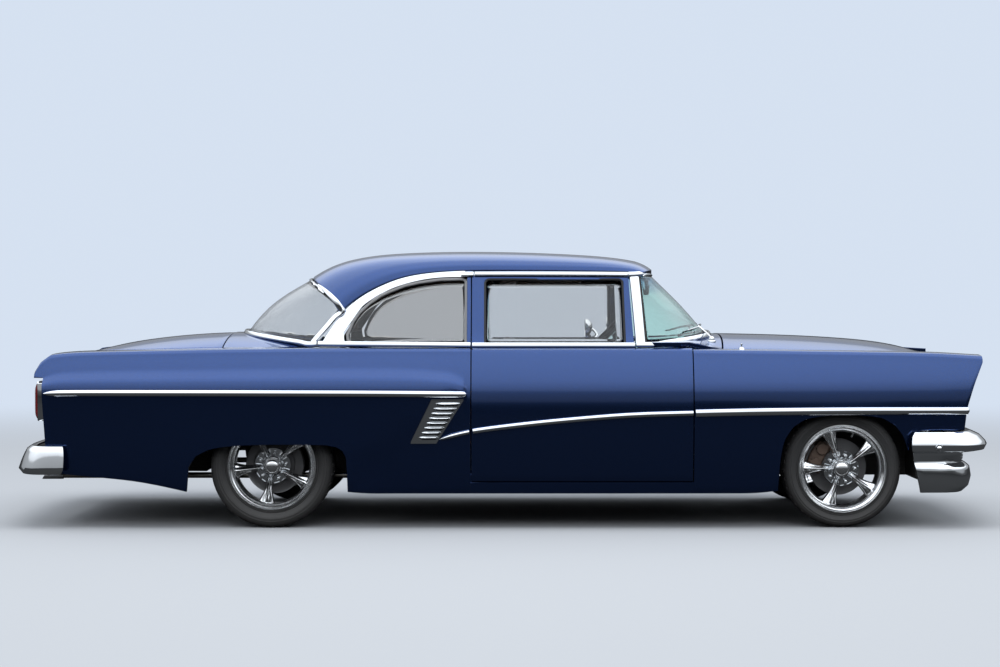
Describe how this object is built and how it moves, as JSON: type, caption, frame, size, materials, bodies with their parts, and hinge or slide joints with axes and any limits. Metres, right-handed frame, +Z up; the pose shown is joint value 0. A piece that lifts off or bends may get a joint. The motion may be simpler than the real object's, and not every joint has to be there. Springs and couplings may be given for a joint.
{
  "type": "two-door sedan car",
  "caption": "Lowered nineteen-fifties two-door sedan with tail fins, wraparound glass and polished five-spoke wheels; doors, hood, trunk lid, wheels and steering move.",
  "frame": {"origin": "on the ground, midway along and across the car", "axes": "+X forward, +Y to the car's left, +Z up"},
  "size_m": [5.244, 1.9456, 1.4809],
  "materials": {
    "frame": "satin",
    "underbody": "satin",
    "engine": "rough",
    "front_arms": "satin",
    "rear_axle": "satin",
    "exhaust": "brushed",
    "knuckle_left": "rough",
    "knuckle_right": "rough",
    "tyre_front_left": "moulded",
    "tyre_front_right": "moulded",
    "tyre_rear_left": "moulded",
    "tyre_rear_right": "moulded",
    "rim_front_left": "polished",
    "rim_front_right": "polished",
    "rim_rear_left": "polished",
    "rim_rear_right": "polished",
    "fender_left": "gloss metallic",
    "fender_right": "gloss metallic",
    "quarter_left": "gloss metallic",
    "quarter_right": "gloss metallic",
    "sills": "gloss metallic",
    "door_left": "gloss metallic",
    "door_right": "gloss metallic",
    "cowl": "gloss metallic",
    "hood": "gloss metallic",
    "pillars": "gloss metallic",
    "roof": "gloss metallic",
    "rear_deck": "gloss metallic",
    "trunk_lid": "gloss metallic",
    "tail_panel": "gloss metallic",
    "front_panel": "gloss metallic",
    "windshield": "clear",
    "rear_glass": "clear",
    "quarter_glass": "clear",
    "door_glass_left": "clear",
    "door_glass_right": "clear",
    "window_trim": "bright",
    "louvres": "bright",
    "grille": "bright",
    "front_bumper": "bright",
    "rear_bumper": "bright",
    "headlamps": "bright",
    "tail_lamps": "gloss",
    "front_seat": "satin",
    "rear_seat": "satin",
    "dashboard": "gloss metallic",
    "steering_wheel": "gloss"
  },
  "bodies": {
    "body": {"frame": "frame", "underbody": "underbody", "engine": "engine", "front_arms": "front_arms", "rear_axle": "rear_axle", "exhaust": "exhaust", "fender_left": "fender_left", "fender_right": "fender_right", "quarter_left": "quarter_left", "quarter_right": "quarter_right", "sills": "sills", "cowl": "cowl", "pillars": "pillars", "roof": "roof", "rear_deck": "rear_deck", "tail_panel": "tail_panel", "front_panel": "front_panel", "windshield": "windshield", "rear_glass": "rear_glass", "quarter_glass": "quarter_glass", "window_trim": "window_trim", "louvres": "louvres", "grille": "grille", "front_bumper": "front_bumper", "rear_bumper": "rear_bumper", "headlamps": "headlamps", "tail_lamps": "tail_lamps", "front_seat": "front_seat", "rear_seat": "rear_seat", "dashboard": "dashboard"},
    "door_left": {"door_left": "door_left", "door_glass_left": "door_glass_left"},
    "door_right": {"door_right": "door_right", "door_glass_right": "door_glass_right"},
    "hood": {"hood": "hood"},
    "trunk_lid": {"trunk_lid": "trunk_lid"},
    "knuckle_left": {"knuckle_left": "knuckle_left"},
    "knuckle_right": {"knuckle_right": "knuckle_right"},
    "steering_wheel": {"steering_wheel": "steering_wheel"},
    "wheel_front_left": {"tyre_front_left": "tyre_front_left", "rim_front_left": "rim_front_left"},
    "wheel_front_right": {"tyre_front_right": "tyre_front_right", "rim_front_right": "rim_front_right"},
    "wheel_rear_left": {"tyre_rear_left": "tyre_rear_left", "rim_rear_left": "rim_rear_left"},
    "wheel_rear_right": {"tyre_rear_right": "tyre_rear_right", "rim_rear_right": "rim_rear_right"}
  },
  "joints": [
    {"name": "steer_left", "type": "hinge", "parent": "body", "child": "knuckle_left", "pos_m": [1.793, 0.61, 0.312], "axis": [0, 0, 1], "range_deg": [-28, 28]},
    {"name": "steer_right", "type": "hinge", "parent": "body", "child": "knuckle_right", "pos_m": [1.793, -0.61, 0.312], "axis": [0, 0, 1], "range_deg": [-28, 28]},
    {"name": "steering_wheel_turn", "type": "hinge", "parent": "body", "child": "steering_wheel", "pos_m": [0.585, 0.37, 0.985], "axis": [-0.7071, 0, 0.7071], "range_deg": [-450, 450]},
    {"name": "wheel_front_left_spin", "type": "hinge", "parent": "knuckle_left", "child": "wheel_front_left", "pos_m": [1.793, 0.745, 0.312], "axis": [0, 1, 0], "continuous": true},
    {"name": "wheel_front_right_spin", "type": "hinge", "parent": "knuckle_right", "child": "wheel_front_right", "pos_m": [1.793, -0.745, 0.312], "axis": [0, 1, 0], "continuous": true},
    {"name": "wheel_rear_left_spin", "type": "hinge", "parent": "body", "child": "wheel_rear_left", "pos_m": [-1.23, 0.745, 0.325], "axis": [0, 1, 0], "continuous": true},
    {"name": "wheel_rear_right_spin", "type": "hinge", "parent": "body", "child": "wheel_rear_right", "pos_m": [-1.23, -0.745, 0.325], "axis": [0, 1, 0], "continuous": true},
    {"name": "door_left_hinge", "type": "hinge", "parent": "body", "child": "door_left", "pos_m": [0.999, 0.939, 0.6], "axis": [0, 0, -1], "range_deg": [0, 65]},
    {"name": "door_right_hinge", "type": "hinge", "parent": "body", "child": "door_right", "pos_m": [0.999, -0.939, 0.6], "axis": [0, 0, 1], "range_deg": [0, 65]},
    {"name": "hood_hinge", "type": "hinge", "parent": "body", "child": "hood", "pos_m": [1.172, 0, 1.021], "axis": [0, -1, 0], "range_deg": [0, 55]},
    {"name": "trunk_hinge", "type": "hinge", "parent": "body", "child": "trunk_lid", "pos_m": [-1.517, 0, 1.027], "axis": [0, 1, 0], "range_deg": [0, 65]}
  ],
  "couplings": [
    {"joint": "steer_right", "follows": "steer_left", "ratio": 1},
    {"joint": "steering_wheel_turn", "follows": "steer_left", "ratio": 16}
  ]
}
